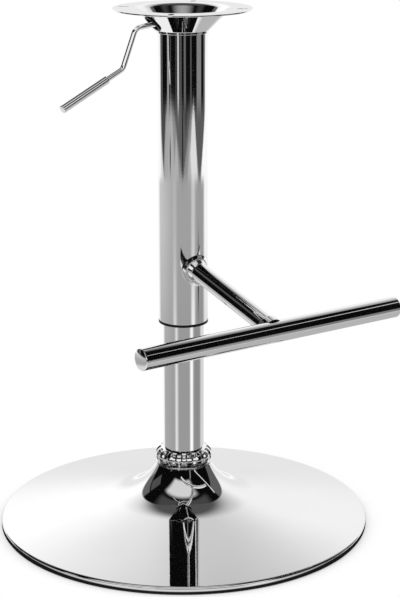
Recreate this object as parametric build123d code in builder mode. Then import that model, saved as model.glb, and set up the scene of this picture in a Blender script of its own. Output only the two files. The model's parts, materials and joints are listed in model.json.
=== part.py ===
from build123d import *
from math import cos, radians, sin, sqrt, tan
import os

# Pedestal of a height-adjustable bar stool: trumpet foot, gas lift, footrest and seat flange.
# Millimetres, +Z up, origin at the centre of the floor face, on the axis of the column.
# The footrest arm points along -Y and the lever along -X. The lift stands at its photographed height.

# Trumpet foot, spun from sheet
BASE_R = 230.0
SKIN_T = 1.5
RIM_TOP_Z = 9.8
RIM_ROUND = 2.2
LIP_WIDTH = 12.0
LIP_CHAMFER = 1.4
FOOT_SLOPE = 10.0
NECK_R = 33.5
NECK_TOP_Z = 77.0
NECK_SLOPE = 61.0
FLARE_R = 80.0
FLARE_SHARE = 0.95

# Soft ring under the rim, and the steel plate that the rim is rolled over
FLOOR_RING_T = 1.5
FLOOR_RING_W = 16.0
FLOOR_RING_UPSTAND = 2.5
PLATE_T = 3.0

# Stand tube and the hub that holds its tapered end
STAND_R = 25.0
STAND_WALL = 2.0
STAND_FOOT_Z = 10.0
STAND_TOP_Z = 390.0
STAND_FLOOR_T = 3.0
TAPER_FOOT_R = 24.3
HUB_WALL = 4.0
HUB_FLANGE_R = 60.0
HUB_FLANGE_T = 4.0
HUB_HEAD_H = 7.0

# Fluted crown collar on the neck
COLLAR_H = 20.0
COLLAR_FOOT_R = 33.2
COLLAR_BULGE_R = 35.4
COLLAR_BULGE_RISE = 10.0
COLLAR_TOP_R = 27.8
COLLAR_BEAD_H = 2.2
COLLAR_BEAD_STEP = 0.7
FLUTE_COUNT = 16
FLUTE_WIDTH = 5.4
FLUTE_FOOT = 5.0
FLUTE_DEPTH = 1.7
FLUTE_DRAFT = 8.0

# Thrust bearing, rod and gas cylinder
ROD_R = 5.0
ROD_END_R = 4.2
ROD_FOOT_Z = 5.0
RACE_R = 15.0
RACE_T = 2.5
ROLLER_R = 1.7
ROLLER_LENGTH = 5.0
ROLLER_COUNT = 12
ROLLER_CIRCLE_R = 10.5
CAGE_T = 1.4
CAGE_WIDTH = 8.0
WASHER_R = 12.0
WASHER_T = 1.5
CLIP_R = 7.5
CLIP_T = 1.2
CLIP_GROOVE = 0.8
CLIP_MOUTH = 5.0
BUFFER_R = 14.0
BUFFER_H = 12.0
CYLINDER_R = 14.0
CYLINDER_WALL = 1.5
CYLINDER_FOOT_Z = 212.0
CYLINDER_END_T = 5.0
CYLINDER_HEAD_T = 24.0
CYLINDER_TOP_R = 13.5
CYLINDER_PROUD = 4.0
PISTON_Z = 272.0
PISTON_H = 12.0
PISTON_NUT_R = 6.5
PISTON_NUT_H = 4.0
BUSH_LENGTH = 60.0
BUSH_FLANGE_T = 3.0

# Cover tube that rides down over the stand tube
COVER_R = 30.0
COVER_WALL = 2.0
COVER_FOOT_Z = 263.0
COVER_TOP_DROP = 25.0
GLIDE_PROUD = 0.4
GLIDE_FLANGE_T = 3.0
GLIDE_SLEEVE_H = 32.0

# Cone socket: a spool of two plates and a tapered tube
SOCKET_WALL = 4.0
SOCKET_PLATE_T = 4.0
SOCKET_H = 32.0

# Seat flange: a funnel stamped from sheet, with four radial slots
SEAT_Z = 643.0
FLANGE_R = 82.4
FLANGE_T = 1.8
FUNNEL_ROUND = 12.0
FUNNEL_SLOPE = 45.0
FUNNEL_FOOT_DROP = 3.5
FUNNEL_FOOT_RISE = 0.4
SLOT_CIRCLE_R = 71.0
SLOT_LENGTH = 13.0
SLOT_WIDTH = 6.2
SLOT_COUNT = 4

# Lever, its pivot and the release pin below its tip
PIVOT_X = 20.0
PIVOT_DROP = 14.14
LEVER_R = 3.2
LEVER_SLOPE = 6.66
LEVER_DROP_SLOPE = 68.1
GRIP_SLOPE = 25.6
LEVER_KNEE_X = 65.84
LEVER_ELBOW_X = 84.14
GRIP_END_X = 166.4
GRIP_LENGTH = 67.2
GRIP_R = 4.9
GRIP_END_T = 1.5
LEVER_BEND_R = 10.0
BLADE_TIP = 23.0
BLADE_ROOT = 14.0
BLADE_HEIGHT = 7.0
BLADE_T = 5.0
LEVER_TRAVEL = 8.0
EAR_T = 2.0
EAR_R = 5.0
BRACKET_T = 1.5
PIN_R = 2.0
PIN_END = 1.0
RELEASE_R = 3.0
RELEASE_FOOT = 18.0
RELEASE_TRAVEL = 4.0
GROMMET_WALL = 0.9
GROMMET_RIM = 2.2
GROMMET_T = 1.2

# Footrest: one sloping arm and a level bar across its end
BAR_Z = 291.0
BAR_Y = 182.5
BAR_R = 12.5
BAR_LENGTH = 367.0
BAR_WALL = 1.5
BAR_CAP_T = 3.0
BAR_PLUG_H = 10.0
BAR_CAP_CHAMFER = 0.8
ARM_R = 11.2
ARM_WALL = 1.5
ARM_SLOPE = 14.1
ARM_ABOVE_BAR = 1.5
BEAD_R = 18.5
BEAD_H = 7.0
SADDLE_T = 1.4
BAR_BEAD_R = 13.6
BAR_BEAD_H = 1.5
BAR_BEAD_DRAFT = 8.0

# Clearances
SLIDE_GAP = 0.3
PIN_GAP = 0.1
SEAT_GAP = 0.3

os.makedirs("parts", exist_ok=True)


def slope(angle):
    return tan(radians(angle))


# Places that several pieces share; the seat's height carries the column's top and the lever with it
COVER_TOP_Z = SEAT_Z - COVER_TOP_DROP
PIVOT_Z = SEAT_Z - PIVOT_DROP
lip_top_z = FLOOR_RING_T + SKIN_T
plate_top_z = lip_top_z + PLATE_T
hub_top_z = NECK_TOP_Z
stand_bore_r = STAND_R - STAND_WALL
stand_floor_z = STAND_FOOT_Z + STAND_FLOOR_T
race_gap = 2 * ROLLER_R + PIN_GAP
lower_race_top_z = stand_floor_z + RACE_T
upper_race_z = lower_race_top_z + race_gap
upper_race_top_z = upper_race_z + RACE_T
cylinder_top_z = COVER_TOP_Z + CYLINDER_PROUD
cylinder_bore_r = CYLINDER_R - CYLINDER_WALL
funnel_foot_r = COVER_R + FLANGE_T + PIN_GAP / 2
funnel_foot_z = COVER_TOP_Z - FUNNEL_FOOT_RISE
funnel_top_r = funnel_foot_r + SEAT_Z - FLANGE_T - funnel_foot_z

# The floor ring: flat under the rim's lip, with an upstand that clips inside it
ring_out_r = BASE_R - LIP_CHAMFER
lip_in_r = BASE_R - LIP_WIDTH
ring_in_r = ring_out_r - FLOOR_RING_W
ring_top_z = FLOOR_RING_T + FLOOR_RING_UPSTAND - SKIN_T
with BuildPart() as floor_ring:
    with BuildSketch(Plane.XZ):
        with BuildLine():
            Polyline(
                (ring_in_r, 0),
                (ring_out_r, 0),
                (ring_out_r, FLOOR_RING_T),
                (lip_in_r - PIN_GAP, FLOOR_RING_T),
                (lip_in_r - PIN_GAP, ring_top_z),
                (ring_in_r, ring_top_z),
                close=True,
            )
        make_face()
    revolve(axis=Axis.Z)
floor_ring.part.label = "floor_ring"

# The foot's skin: a steep neck, one wide flare, a shallow cone, and a rim rolled under itself
foot_t = slope(FOOT_SLOPE)
neck_t = slope(NECK_SLOPE)
flare_x = (NECK_TOP_Z - RIM_TOP_Z + NECK_R * neck_t - BASE_R * foot_t) / (neck_t - foot_t)
flare_z = RIM_TOP_Z + (BASE_R - flare_x) * foot_t
neck_run = (NECK_TOP_Z - flare_z) / sin(radians(NECK_SLOPE))
flare_limit = FLARE_SHARE * neck_run / slope((NECK_SLOPE - FOOT_SLOPE) / 2)
with BuildPart() as base_disc:
    with BuildSketch(Plane.XZ):
        with BuildLine():
            FilletPolyline(
                (NECK_R, NECK_TOP_Z),
                (flare_x, flare_z),
                (BASE_R, RIM_TOP_Z),
                radius=min(FLARE_R, flare_limit),
            )
            offset(amount=SKIN_T, side=Side.RIGHT, closed=True)
        make_face()
    revolve(axis=Axis.Z)
    with BuildSketch(Plane.XZ):
        with BuildLine():
            Polyline(
                (BASE_R - SKIN_T, RIM_TOP_Z - SKIN_T / 2),
                (BASE_R - SKIN_T, lip_top_z),
                (lip_in_r, lip_top_z),
                (lip_in_r, FLOOR_RING_T),
                (BASE_R - LIP_CHAMFER, FLOOR_RING_T),
                (BASE_R, FLOOR_RING_T + LIP_CHAMFER),
                (BASE_R, RIM_TOP_Z),
                (BASE_R - 2 * SKIN_T, RIM_TOP_Z + 2 * SKIN_T * foot_t),
                (BASE_R - 2 * SKIN_T, RIM_TOP_Z - SKIN_T / 2),
                close=True,
            )
        make_face()
    revolve(axis=Axis.Z)
    rim_edges = base_disc.edges().filter_by(GeomType.CIRCLE)
    rim_edge = rim_edges.sort_by(lambda edge: abs(edge.radius - BASE_R) + abs(edge.center().Z - RIM_TOP_Z))[0]
    fillet(rim_edge, min(RIM_ROUND, (RIM_TOP_Z - FLOOR_RING_T - LIP_CHAMFER) / 2))
base_disc.part.label = "base_disc"

# The hub: a tapered sleeve standing in the plate, with a head that centres the neck
taper_rate = (STAND_R - TAPER_FOOT_R) / (hub_top_z - STAND_FOOT_Z)


def taper_r(z):
    return STAND_R - (hub_top_z - z) * taper_rate


hub_r = STAND_R + HUB_WALL
hub_head_r = NECK_R - SKIN_T / sin(radians(NECK_SLOPE)) - SEAT_GAP
with BuildPart() as hub_socket:
    with BuildSketch(Plane.XZ):
        with BuildLine():
            Polyline(
                (taper_r(lip_top_z), lip_top_z),
                (hub_r, lip_top_z),
                (hub_r, plate_top_z),
                (HUB_FLANGE_R, plate_top_z),
                (HUB_FLANGE_R, plate_top_z + HUB_FLANGE_T),
                (hub_r, plate_top_z + HUB_FLANGE_T),
                (hub_r, hub_top_z - HUB_HEAD_H),
                (hub_head_r, hub_top_z - HUB_HEAD_H),
                (hub_head_r, hub_top_z),
                (taper_r(hub_top_z), hub_top_z),
                close=True,
            )
        make_face()
    revolve(axis=Axis.Z)
hub_socket.part.label = "hub_socket"

# The steel plate lies on the rim's lip and carries the hub
with BuildPart() as bottom_plate:
    with BuildSketch(Plane.XY.offset(lip_top_z)):
        Circle(BASE_R - SKIN_T - 2 * SEAT_GAP)
        Circle(hub_r + PIN_GAP, mode=Mode.SUBTRACT)
    extrude(amount=PLATE_T)
bottom_plate.part.label = "bottom_plate"

# The stand tube ends in a floor that the thrust bearing sits on
rod_hole_r = ROD_END_R + SLIDE_GAP
with BuildPart() as stand_tube:
    with BuildSketch(Plane.XZ):
        with BuildLine():
            Polyline(
                (rod_hole_r, STAND_FOOT_Z),
                (taper_r(STAND_FOOT_Z), STAND_FOOT_Z),
                (STAND_R, hub_top_z),
                (STAND_R, STAND_TOP_Z),
                (stand_bore_r, STAND_TOP_Z),
                (stand_bore_r, stand_floor_z),
                (rod_hole_r, stand_floor_z),
                close=True,
            )
        make_face()
    revolve(axis=Axis.Z)
stand_tube.part.label = "stand_tube"

# The guide bush lines the top of the stand tube and holds the cylinder upright
bush_bore_r = CYLINDER_R + SLIDE_GAP
with BuildPart() as guide_bush:
    with BuildSketch(Plane.XY.offset(STAND_TOP_Z)):
        Circle(STAND_R)
        Circle(bush_bore_r, mode=Mode.SUBTRACT)
    extrude(amount=BUSH_FLANGE_T)
    with BuildSketch(Plane.XY.offset(STAND_TOP_Z)):
        Circle(stand_bore_r - PIN_GAP)
        Circle(bush_bore_r, mode=Mode.SUBTRACT)
    extrude(amount=-BUSH_LENGTH)
guide_bush.part.label = "guide_bush"

# The crown collar: a foot bead and a bulging band, with flutes that are open at the top.
# The flutes are cut from the band, and a core inside it gives them their even depth.
collar_top_z = NECK_TOP_Z + COLLAR_H
collar_bore_r = STAND_R + PIN_GAP
bead_top_z = NECK_TOP_Z + COLLAR_BEAD_H
bead_top_r = COLLAR_FOOT_R - COLLAR_BEAD_STEP
bulge_z = NECK_TOP_Z + COLLAR_BULGE_RISE
core_top_r = COLLAR_TOP_R - FLUTE_DEPTH
flute_length = 2 * COLLAR_H
with BuildPart() as flute:
    with BuildSketch(Plane.YZ.offset(core_top_r - PIN_GAP)):
        with Locations((0, NECK_TOP_Z + FLUTE_FOOT + flute_length / 2)):
            SlotOverall(flute_length, FLUTE_WIDTH, rotation=90)
    extrude(amount=COLLAR_BULGE_R - core_top_r + FLUTE_DEPTH, taper=-FLUTE_DRAFT)
with BuildPart() as crown_collar:
    with BuildSketch(Plane.XZ):
        with BuildLine():
            Polyline(
                (collar_bore_r, NECK_TOP_Z),
                (COLLAR_FOOT_R, NECK_TOP_Z),
                (COLLAR_FOOT_R + COLLAR_BEAD_STEP, NECK_TOP_Z + COLLAR_BEAD_H / 2),
                (bead_top_r, bead_top_z),
            )
            ThreePointArc(
                (bead_top_r, bead_top_z),
                (COLLAR_BULGE_R, bulge_z),
                (COLLAR_TOP_R, collar_top_z),
            )
            Polyline(
                (COLLAR_TOP_R, collar_top_z),
                (collar_bore_r, collar_top_z),
                (collar_bore_r, NECK_TOP_Z),
            )
        make_face()
    revolve(axis=Axis.Z)
    with PolarLocations(0, FLUTE_COUNT, start_angle=180 / FLUTE_COUNT):
        add(flute.part, mode=Mode.SUBTRACT)
    with BuildSketch(Plane.XZ):
        with BuildLine():
            Polyline(
                (core_top_r, collar_top_z),
                (collar_bore_r, collar_top_z),
                (collar_bore_r, NECK_TOP_Z),
                (bead_top_r - FLUTE_DEPTH, NECK_TOP_Z),
                (bead_top_r - FLUTE_DEPTH, bead_top_z),
            )
            ThreePointArc(
                (bead_top_r - FLUTE_DEPTH, bead_top_z),
                (COLLAR_BULGE_R - FLUTE_DEPTH, bulge_z),
                (core_top_r, collar_top_z),
            )
        make_face()
    revolve(axis=Axis.Z)
crown_collar.part.label = "crown_collar"

# Thrust bearing: two flat races with a caged ring of rollers between them
def washer(z, outer, inner, thickness):
    with BuildPart() as ring:
        with BuildSketch(Plane.XY.offset(z)):
            Circle(outer)
            Circle(inner, mode=Mode.SUBTRACT)
        extrude(amount=thickness)
    return ring.part


bearing_lower_race = washer(stand_floor_z, RACE_R, rod_hole_r, RACE_T)
bearing_lower_race.label = "bearing_lower_race"
bearing_upper_race = washer(upper_race_z, RACE_R, rod_hole_r, RACE_T)
bearing_upper_race.label = "bearing_upper_race"
roller_z = lower_race_top_z + ROLLER_R
with BuildPart() as bearing_rollers:
    with BuildSketch(Plane.XY.offset(roller_z)):
        Circle(ROLLER_CIRCLE_R + CAGE_WIDTH / 2)
        Circle(ROLLER_CIRCLE_R - CAGE_WIDTH / 2, mode=Mode.SUBTRACT)
    extrude(amount=CAGE_T / 2, both=True)
    with Locations(Plane.XY.offset(roller_z)):
        with PolarLocations(ROLLER_CIRCLE_R, ROLLER_COUNT):
            Cylinder(ROLLER_R, ROLLER_LENGTH, rotation=(0, 90, 0))
bearing_rollers.part.label = "bearing_rollers"

# The rod stands on the upper race, and a washer and a clip hold it under the tube's floor
washer_z = STAND_FOOT_Z - SEAT_GAP - WASHER_T
clip_z = washer_z - CLIP_T
clip_groove_r = ROD_END_R - CLIP_GROOVE
piston_top_z = PISTON_Z + PISTON_H
with BuildPart() as piston_rod:
    with BuildSketch(Plane.XZ):
        with BuildLine():
            Polyline(
                (0, ROD_FOOT_Z),
                (ROD_END_R, ROD_FOOT_Z),
                (ROD_END_R, clip_z),
                (clip_groove_r, clip_z),
                (clip_groove_r, washer_z),
                (ROD_END_R, washer_z),
                (ROD_END_R, upper_race_top_z),
                (ROD_R, upper_race_top_z),
                (ROD_R, PISTON_Z),
                (ROD_END_R, PISTON_Z),
                (ROD_END_R, piston_top_z),
                (PISTON_NUT_R, piston_top_z),
                (PISTON_NUT_R, piston_top_z + PISTON_NUT_H),
                (0, piston_top_z + PISTON_NUT_H),
                close=True,
            )
        make_face()
    revolve(axis=Axis.Z)
piston_rod.part.label = "piston_rod"


rod_washer = washer(washer_z, WASHER_R, ROD_END_R + PIN_GAP, WASHER_T)
rod_washer.label = "rod_washer"
rubber_buffer = washer(upper_race_top_z, BUFFER_R, ROD_R + PIN_GAP, BUFFER_H)
rubber_buffer.label = "rubber_buffer"
piston = washer(PISTON_Z, cylinder_bore_r - SLIDE_GAP, ROD_END_R + PIN_GAP, PISTON_H)
piston.label = "piston"
with BuildPart() as rod_clip:
    with BuildSketch(Plane.XY.offset(clip_z)):
        Circle(CLIP_R)
        Circle(clip_groove_r + PIN_GAP, mode=Mode.SUBTRACT)
        with Locations((0, -CLIP_R)):
            Rectangle(CLIP_MOUTH, 2 * CLIP_R, mode=Mode.SUBTRACT)
    extrude(amount=CLIP_T)
rod_clip.part.label = "rod_clip"

# The gas cylinder: a hollow tube whose top tapers into the cone socket, with a bore for the pin
taper_z = COVER_TOP_Z - SOCKET_H
head_z = cylinder_top_z - CYLINDER_HEAD_T
release_bore_r = RELEASE_R + SLIDE_GAP
release_bore_z = cylinder_top_z - RELEASE_FOOT - RELEASE_TRAVEL
with BuildPart() as gas_cylinder:
    with BuildSketch(Plane.XZ):
        with BuildLine():
            Polyline(
                (ROD_R + SLIDE_GAP, CYLINDER_FOOT_Z),
                (CYLINDER_R, CYLINDER_FOOT_Z),
                (CYLINDER_R, taper_z),
                (CYLINDER_TOP_R, cylinder_top_z),
                (release_bore_r, cylinder_top_z),
                (release_bore_r, release_bore_z),
                (0, release_bore_z),
                (0, head_z),
                (cylinder_bore_r, head_z),
                (cylinder_bore_r, CYLINDER_FOOT_Z + CYLINDER_END_T),
                (ROD_R + SLIDE_GAP, CYLINDER_FOOT_Z + CYLINDER_END_T),
                close=True,
            )
        make_face()
    revolve(axis=Axis.Z)
gas_cylinder.part.label = "gas_cylinder"

# The cone socket is a spool welded into the top of the cover tube
cylinder_taper = (CYLINDER_R - CYLINDER_TOP_R) / (cylinder_top_z - taper_z)
socket_top_r = CYLINDER_R - SOCKET_H * cylinder_taper
cover_bore_r = COVER_R - COVER_WALL
socket_plate_r = cover_bore_r - PIN_GAP


socket_tube_r = CYLINDER_R + SOCKET_WALL
with BuildPart() as cone_socket:
    with BuildSketch(Plane.XZ):
        with BuildLine():
            Polyline(
                (CYLINDER_R, taper_z),
                (socket_plate_r, taper_z),
                (socket_plate_r, taper_z + SOCKET_PLATE_T),
                (socket_tube_r, taper_z + SOCKET_PLATE_T),
                (socket_tube_r, COVER_TOP_Z - SOCKET_PLATE_T),
                (socket_plate_r, COVER_TOP_Z - SOCKET_PLATE_T),
                (socket_plate_r, COVER_TOP_Z),
                (socket_top_r, COVER_TOP_Z),
                close=True,
            )
        make_face()
    revolve(axis=Axis.Z)
cone_socket.part.label = "cone_socket"

# Cover tube, and the black ring at its foot that glides on the stand tube
with BuildPart() as cover_tube:
    with BuildSketch(Plane.XY.offset(COVER_FOOT_Z)):
        Circle(COVER_R)
        Circle(cover_bore_r, mode=Mode.SUBTRACT)
    extrude(amount=COVER_TOP_Z - COVER_FOOT_Z)
cover_tube.part.label = "cover_tube"

glide_bore_r = STAND_R + SLIDE_GAP
with BuildPart() as glide_ring:
    with BuildSketch(Plane.XY.offset(COVER_FOOT_Z - GLIDE_FLANGE_T)):
        Circle(COVER_R + GLIDE_PROUD)
        Circle(glide_bore_r, mode=Mode.SUBTRACT)
    extrude(amount=GLIDE_FLANGE_T)
    with BuildSketch(Plane.XY.offset(COVER_FOOT_Z)):
        Circle(cover_bore_r - PIN_GAP)
        Circle(glide_bore_r, mode=Mode.SUBTRACT)
    extrude(amount=GLIDE_SLEEVE_H)
glide_ring.part.label = "glide_ring"

# Where the lever's axis crosses the funnel's wall, at rest and raised
pivot = Vector(-PIVOT_X, 0, PIVOT_Z)
wall_mid_r = funnel_foot_r - FLANGE_T / sqrt(2)
wall_mid_z = funnel_foot_z


def wall_crossing(angle):
    rise = slope(angle - LEVER_SLOPE)
    r = (wall_mid_r + PIVOT_Z - wall_mid_z - rise * PIVOT_X) / (1 - rise)
    return Vector(-r, 0, PIVOT_Z + (r - PIVOT_X) * rise)


rest_crossing = wall_crossing(0)
raised_crossing = wall_crossing(LEVER_TRAVEL)
hole_centre = (rest_crossing + raised_crossing) / 2
hole_swing = (raised_crossing - rest_crossing).length
hole_length = hole_swing + 2 * LEVER_R / cos(radians(FUNNEL_SLOPE - LEVER_SLOPE + LEVER_TRAVEL)) + 3 * FLANGE_T
hole_width = 2 * LEVER_R + 2
wall_plane = Plane(origin=hole_centre, x_dir=(-1, 0, 1), z_dir=(-1, 0, -1))
sleeve_length = hole_length + 2 * GROMMET_WALL
sleeve_width = hole_width + 2 * GROMMET_WALL

# The seat flange: vertical foot, 45 degree funnel, flat rim with radial slots, and the lever's hole
with BuildPart() as seat_flange:
    with BuildSketch(Plane.XZ):
        with BuildLine():
            FilletPolyline(
                (FLANGE_R, SEAT_Z - FLANGE_T),
                (funnel_top_r, SEAT_Z - FLANGE_T),
                (funnel_foot_r, funnel_foot_z),
                radius=FUNNEL_ROUND,
            )
            offset(amount=FLANGE_T, side=Side.RIGHT, closed=True)
        make_face()
        with BuildLine():
            Polyline(
                (COVER_R + PIN_GAP / 2, COVER_TOP_Z - FUNNEL_FOOT_DROP),
                (funnel_foot_r, COVER_TOP_Z - FUNNEL_FOOT_DROP),
                (funnel_foot_r, funnel_foot_z + FLANGE_T),
                (COVER_R + PIN_GAP / 2, COVER_TOP_Z + PIN_GAP),
                close=True,
            )
        make_face()
    revolve(axis=Axis.Z)
    with BuildSketch(Plane.XY.offset(SEAT_Z + FLANGE_T)):
        with PolarLocations(SLOT_CIRCLE_R, SLOT_COUNT, start_angle=45):
            SlotOverall(SLOT_LENGTH, SLOT_WIDTH)
    extrude(amount=-3 * FLANGE_T, mode=Mode.SUBTRACT)
    with BuildSketch(wall_plane):
        SlotOverall(sleeve_length + 2 * PIN_GAP, sleeve_width + 2 * PIN_GAP)
    extrude(amount=3 * FLANGE_T, both=True, mode=Mode.SUBTRACT)
seat_flange.part.label = "seat_flange"

# The grommet lines the lever's hole, with a flat rim outside
with BuildPart() as lever_grommet:
    with BuildSketch(wall_plane.offset(FLANGE_T / 2 + PIN_GAP)):
        SlotOverall(sleeve_length + 2 * GROMMET_RIM, sleeve_width + 2 * GROMMET_RIM)
        SlotOverall(hole_length, hole_width, mode=Mode.SUBTRACT)
    extrude(amount=GROMMET_T)
    with BuildSketch(wall_plane.offset(FLANGE_T / 2 + PIN_GAP)):
        SlotOverall(sleeve_length, sleeve_width)
        SlotOverall(hole_length, hole_width, mode=Mode.SUBTRACT)
    extrude(amount=-2 * FLANGE_T)
lever_grommet.part.label = "lever_grommet"

# The lever's bracket: two ears on a small plate, across which the pin is pressed
ear_in_y = BLADE_T / 2 + SEAT_GAP + PIN_GAP
ear_out_y = ear_in_y + EAR_T
with BuildPart() as lever_bracket:
    with BuildSketch(Plane.XY.offset(COVER_TOP_Z)):
        with Locations((-PIVOT_X, 0)):
            Rectangle(2 * EAR_R, 2 * ear_out_y)
    extrude(amount=BRACKET_T)
    with BuildSketch(Plane.XZ.offset(-ear_out_y)):
        with Locations((-PIVOT_X, (COVER_TOP_Z + PIVOT_Z) / 2)):
            Rectangle(2 * EAR_R, PIVOT_Z - COVER_TOP_Z)
        with Locations((-PIVOT_X, PIVOT_Z)):
            Circle(EAR_R)
            Circle(PIN_R + PIN_GAP / 2, mode=Mode.SUBTRACT)
    extrude(amount=EAR_T)
    mirror(about=Plane.XZ)
lever_bracket.part.label = "lever_bracket"

with BuildPart() as lever_pin:
    with BuildSketch(Plane.XZ.offset(-ear_out_y - PIN_END)):
        with Locations((-PIVOT_X, PIVOT_Z)):
            Circle(PIN_R)
    extrude(amount=2 * (ear_out_y + PIN_END))
lever_pin.part.label = "lever_pin"


# The lever: a flat blade on the pivot, then a round rod with two bends
def lever_point(x, from_x, from_z, angle):
    return Vector(-x, 0, from_z - (x - from_x) * slope(angle))


knee = lever_point(LEVER_KNEE_X, PIVOT_X, PIVOT_Z, LEVER_SLOPE)
elbow = lever_point(LEVER_ELBOW_X, LEVER_KNEE_X, knee.Z, LEVER_DROP_SLOPE)
grip_end = lever_point(GRIP_END_X, LEVER_ELBOW_X, elbow.Z, GRIP_SLOPE)
grip_dir = (grip_end - elbow).normalized()
blade_dir = (knee - pivot).normalized()
rod_start = pivot + blade_dir * (BLADE_ROOT - 2 * PIN_R)
rod_end = grip_end - grip_dir * GRIP_END_T
blade_plane = Plane(origin=pivot, x_dir=blade_dir, z_dir=(0, 1, 0))
with BuildPart() as lever_rod:
    with BuildLine():
        FilletPolyline(rod_start, knee, elbow, rod_end, radius=LEVER_BEND_R)
    with BuildSketch(Plane(origin=rod_start, z_dir=blade_dir)):
        Circle(LEVER_R)
    sweep()
    with BuildSketch(blade_plane):
        with Locations(((BLADE_ROOT - BLADE_TIP) / 2, 0)):
            Rectangle(BLADE_ROOT + BLADE_TIP, BLADE_HEIGHT)
    extrude(amount=BLADE_T / 2, both=True)
    with BuildSketch(blade_plane):
        Circle(PIN_R + PIN_GAP)
    extrude(amount=BLADE_T, both=True, mode=Mode.SUBTRACT)
lever_rod.part.label = "lever_rod"

# The grip is a sleeve, closed at its outer end
grip_start = grip_end - grip_dir * GRIP_LENGTH
with BuildPart() as lever_grip:
    with BuildSketch(Plane(origin=grip_start, z_dir=grip_dir)):
        Circle(GRIP_R)
    extrude(amount=GRIP_LENGTH)
    with BuildSketch(Plane(origin=grip_start, z_dir=grip_dir)):
        Circle(LEVER_R + PIN_GAP / 2)
    extrude(amount=GRIP_LENGTH - GRIP_END_T, mode=Mode.SUBTRACT)
lever_grip.part.label = "lever_grip"

# The release pin stands just below the blade, at the edge that is nearest the pivot
pin_reach = PIVOT_X - RELEASE_R
blade_under = BLADE_HEIGHT / 2 / cos(radians(LEVER_SLOPE))
release_top_z = PIVOT_Z + pin_reach * slope(LEVER_SLOPE) - blade_under - SEAT_GAP
release_foot_z = cylinder_top_z - RELEASE_FOOT
with BuildPart() as release_pin:
    with BuildSketch(Plane.XY.offset(release_foot_z)):
        Circle(RELEASE_R)
    extrude(amount=release_top_z - release_foot_z)
release_pin.part.label = "release_pin"

# The footrest bar is a tube with a cap in each end
bar_tube_length = BAR_LENGTH - 2 * BAR_CAP_T
bar_centre = Vector(0, -BAR_Y, BAR_Z)
with BuildPart() as footrest_bar:
    with BuildSketch(Plane(origin=bar_centre, z_dir=(1, 0, 0))):
        Circle(BAR_R)
        Circle(BAR_R - BAR_WALL, mode=Mode.SUBTRACT)
    extrude(amount=bar_tube_length / 2, both=True)
footrest_bar.part.label = "footrest_bar"


def bar_cap(side):
    end = bar_centre + Vector(side * bar_tube_length / 2, 0, 0)
    with BuildPart() as cap:
        with BuildSketch(Plane(origin=end, z_dir=(side, 0, 0))):
            Circle(BAR_R)
        extrude(amount=BAR_CAP_T)
        chamfer(cap.faces().sort_by(Axis.X)[-1 if side > 0 else 0].edges(), BAR_CAP_CHAMFER)
        with BuildSketch(Plane(origin=end, z_dir=(-side, 0, 0))):
            Circle(BAR_R - BAR_WALL - PIN_GAP)
        extrude(amount=BAR_PLUG_H)
    return cap.part


bar_cap_left = bar_cap(-1)
bar_cap_left.label = "bar_cap_left"
bar_cap_right = bar_cap(1)
bar_cap_right.label = "bar_cap_right"

# The arm: a tube mitred onto the cover tube and the bar, flared onto a saddle ring at one end
# and with a weld bead at the other
arm_bar_end = Vector(0, -BAR_Y, BAR_Z + ARM_ABOVE_BAR)
arm_dir = Vector(0, cos(radians(ARM_SLOPE)), sin(radians(ARM_SLOPE)))
arm_length = BAR_Y / cos(radians(ARM_SLOPE))
arm_plane = Plane(origin=arm_bar_end, x_dir=(1, 0, 0), z_dir=arm_dir)
tube_face = (BAR_Y - COVER_R) / cos(radians(ARM_SLOPE))
with BuildPart() as saddle_ring:
    with BuildSketch(arm_plane.offset(tube_face - BEAD_H)):
        Circle(BEAD_R)
    extrude(amount=3 * BEAD_H)
    with BuildSketch(Plane.XY.offset(COVER_FOOT_Z)):
        Circle(COVER_R + SADDLE_T)
    extrude(amount=COVER_TOP_Z - COVER_FOOT_Z, mode=Mode.INTERSECT)
with BuildPart() as footrest_arm:
    with BuildSketch(arm_plane):
        Circle(ARM_R)
    extrude(amount=arm_length)
    add(saddle_ring.part)
    with BuildSketch(arm_plane.offset(tube_face - BEAD_H)):
        Circle(ARM_R)
    with BuildSketch(arm_plane.offset(tube_face + BEAD_H)):
        Circle(BEAD_R)
    loft()
    with BuildSketch(arm_plane):
        Circle(BAR_BEAD_R)
    extrude(amount=BAR_R + BAR_BEAD_H, taper=BAR_BEAD_DRAFT)
    with BuildSketch(arm_plane):
        Circle(ARM_R - ARM_WALL)
    extrude(amount=arm_length, mode=Mode.SUBTRACT)
    with BuildSketch(Plane.XY.offset(COVER_FOOT_Z)):
        Circle(COVER_R)
    extrude(amount=COVER_TOP_Z - COVER_FOOT_Z, mode=Mode.SUBTRACT)
    with BuildSketch(Plane(origin=bar_centre, z_dir=(1, 0, 0))):
        Circle(BAR_R)
    extrude(amount=BAR_LENGTH / 2, both=True, mode=Mode.SUBTRACT)
footrest_arm.part.label = "footrest_arm"

pieces = [
    base_disc.part,
    floor_ring.part,
    bottom_plate.part,
    hub_socket.part,
    stand_tube.part,
    guide_bush.part,
    crown_collar.part,
    bearing_lower_race,
    bearing_rollers.part,
    bearing_upper_race,
    piston_rod.part,
    piston,
    rubber_buffer,
    rod_washer,
    rod_clip.part,
    gas_cylinder.part,
    cone_socket.part,
    cover_tube.part,
    glide_ring.part,
    seat_flange.part,
    lever_grommet.part,
    lever_bracket.part,
    lever_pin.part,
    footrest_arm.part,
    footrest_bar.part,
    bar_cap_left,
    bar_cap_right,
    release_pin.part,
    lever_rod.part,
    lever_grip.part,
]
for piece in pieces:
    export_step(piece, "parts/" + piece.label + ".step")
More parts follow.
